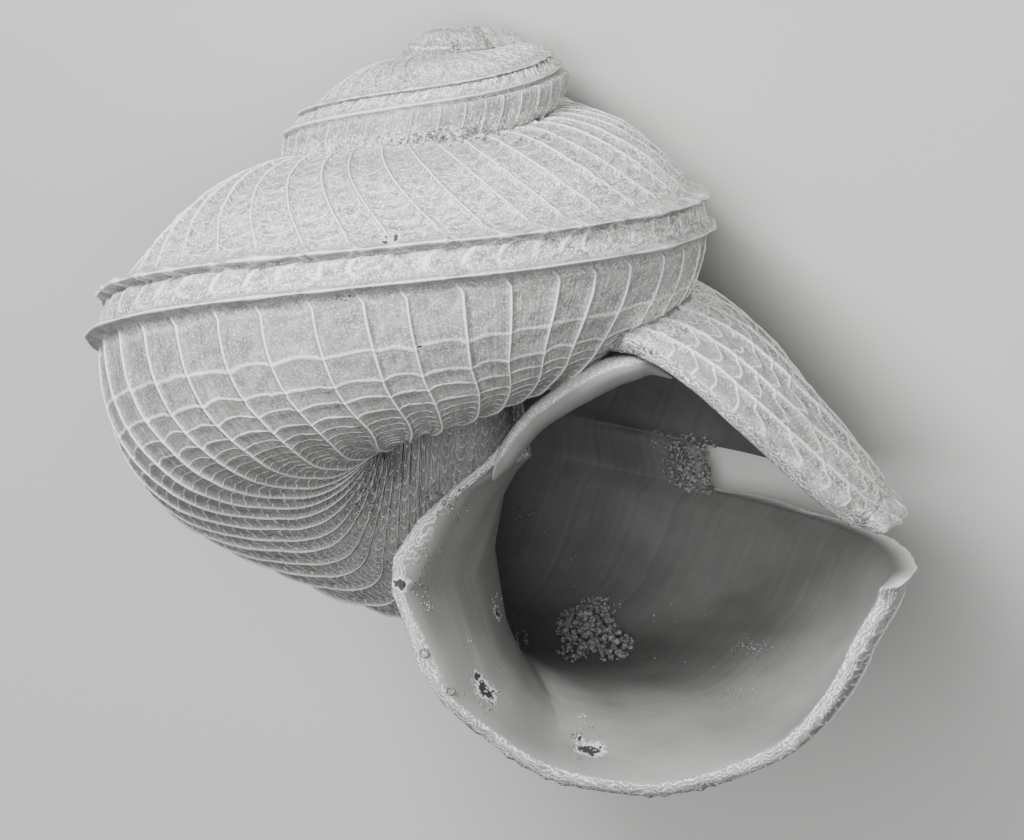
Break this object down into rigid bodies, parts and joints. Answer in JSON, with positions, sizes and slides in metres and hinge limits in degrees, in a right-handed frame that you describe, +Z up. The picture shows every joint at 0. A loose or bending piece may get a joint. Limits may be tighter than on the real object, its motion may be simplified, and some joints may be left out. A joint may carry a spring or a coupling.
{
  "type": "sea shell",
  "caption": "Minute top-shaped slit shell with fine ribs, a pair of keels with an open slit between them, and a wide mouth.",
  "frame": {"origin": "on the surface that the shell lies on, under the middle of its box", "axes": "+Z up with the mouth facing up and to +Y, +Y from the base toward the apex, +X toward the outer lip"},
  "size_m": [0.004, 0.0032, 0.0026],
  "materials": {
    "shell_lime": "matt"
  },
  "bodies": {
    "root": {"shell": "shell_lime"}
  },
  "joints": []
}
